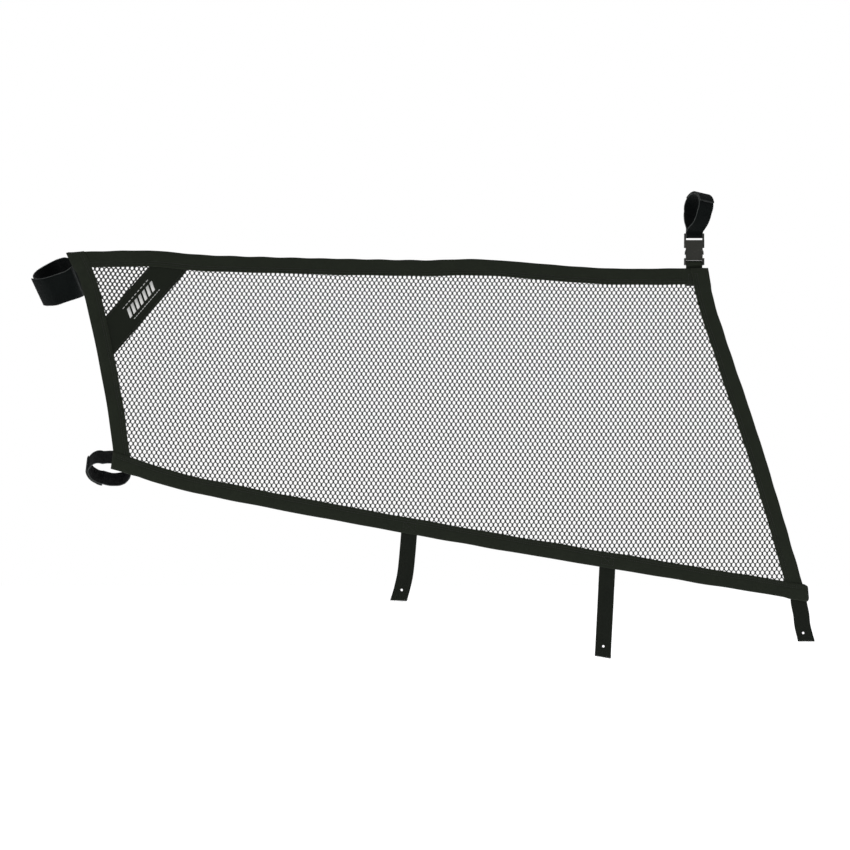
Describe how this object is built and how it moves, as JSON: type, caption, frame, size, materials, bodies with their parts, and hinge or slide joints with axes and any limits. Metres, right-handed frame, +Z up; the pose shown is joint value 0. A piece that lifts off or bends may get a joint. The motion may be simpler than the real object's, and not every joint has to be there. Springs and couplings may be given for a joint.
{
  "type": "window net",
  "caption": "Mesh net with a webbing border, hook-and-loop tube straps, a side-release buckle and bottom tabs, for the side opening of an off-road vehicle.",
  "frame": {"origin": "axis of the tube that the front upper loop holds, at the middle of the strap's width", "axes": "+Z up as the net hangs in use, +X to the rear of the opening, -Y out of the vehicle towards the viewer, so the net lies in the XZ plane"},
  "size_m": [1.2916, 0.0907, 0.7733],
  "materials": {
    "mesh": "vinyl-coated polyester mesh, satin",
    "webbing": "plain-woven polyester webbing, matt",
    "strap": "hook-and-loop strap with a short pile, matt",
    "buckle": "moulded acetal, fine matt texture"
  },
  "bodies": {
    "net": {"mesh_panel": "mesh", "top_binding": "webbing", "rear_binding": "webbing", "bottom_binding": "webbing", "front_binding": "webbing", "corner_gusset": "webbing", "front_upper_strap": "strap", "front_lower_root": "strap", "anchor_web": "webbing", "tab_front_root": "webbing", "tab_middle_root": "webbing", "tab_rear_root": "webbing"},
    "upper_tail": {"front_upper_tail": "strap"},
    "lower_loop": {"front_lower_strap": "strap"},
    "lower_tail": {"front_lower_tail": "strap"},
    "plug": {"buckle_plug": "buckle"},
    "arm_front": {"latch_arm_front": "buckle"},
    "arm_rear": {"latch_arm_rear": "buckle"},
    "socket": {"buckle_socket": "buckle"},
    "rear_loop": {"rear_loop_strap": "strap"},
    "rear_tail": {"rear_loop_tail": "strap"},
    "tab_front": {"tab_front": "webbing"},
    "tab_middle": {"tab_middle": "webbing"},
    "tab_rear": {"tab_rear": "webbing"}
  },
  "joints": [
    {"name": "upper_tail_peel", "type": "hinge", "parent": "net", "child": "upper_tail", "pos_m": [0.03665, -0.02945, 0.01334], "axis": [-0.342, 0, 0.9397], "range_deg": [0, 100]},
    {"name": "lower_loop_swing", "type": "hinge", "parent": "net", "child": "lower_loop", "pos_m": [0.12661, -0.01296, -0.31], "axis": [-0.113, 0.9203, 0.3746], "range_deg": [-30, 20], "stiffness_Nm_per_rad": 0.03},
    {"name": "lower_tail_peel", "type": "hinge", "parent": "lower_loop", "child": "lower_tail", "pos_m": [0.05643, -0.0242, -0.30357], "axis": [-0.113, 0.9203, 0.3746], "range_deg": [0, 90]},
    {"name": "plug_pivot", "type": "hinge", "parent": "net", "child": "plug", "pos_m": [1.06, -0.0291, 0.0387], "axis": [1, 0, 0], "range_deg": [-90, 90], "stiffness_Nm_per_rad": 0.08},
    {"name": "front_latch_squeeze", "type": "hinge", "parent": "plug", "child": "arm_front", "pos_m": [1.0508, -0.0291, 0.046], "axis": [0, 1, 0], "range_deg": [0, 10], "stiffness_Nm_per_rad": 0.4},
    {"name": "rear_latch_squeeze", "type": "hinge", "parent": "plug", "child": "arm_rear", "pos_m": [1.0692, -0.0291, 0.046], "axis": [0, -1, 0], "range_deg": [0, 10], "stiffness_Nm_per_rad": 0.4},
    {"name": "socket_release", "type": "slide", "parent": "plug", "child": "socket", "axis": [0, 0, 1], "range_m": [0, 0.026], "deforming": ["latch_arm_front", "latch_arm_rear"]},
    {"name": "rear_loop_pivot", "type": "hinge", "parent": "socket", "child": "rear_loop", "pos_m": [1.06, -0.0291, 0.086], "axis": [1, 0, 0], "range_deg": [-90, 90], "stiffness_Nm_per_rad": 0.03},
    {"name": "rear_tail_peel", "type": "hinge", "parent": "rear_loop", "child": "rear_tail", "pos_m": [1.0817, -0.04688, 0.14343], "axis": [0.8091, 0.5736, -0.1281], "range_deg": [0, 100]},
    {"name": "tab_front_fold", "type": "hinge", "parent": "net", "child": "tab_front", "pos_m": [0.5888, -0.02975, -0.4073], "axis": [0.9825, 0, -0.186], "range_deg": [-90, 90]},
    {"name": "tab_middle_fold", "type": "hinge", "parent": "net", "child": "tab_middle", "pos_m": [0.9168, -0.02975, -0.4637], "axis": [0.986, 0, -0.1667], "range_deg": [-90, 90]},
    {"name": "tab_rear_fold", "type": "hinge", "parent": "net", "child": "tab_rear", "pos_m": [1.2328, -0.02975, -0.5159], "axis": [0.987, 0, -0.1605], "range_deg": [-90, 90]}
  ],
  "couplings": [
    {"joint": "rear_latch_squeeze", "follows": "front_latch_squeeze", "ratio": 1}
  ]
}
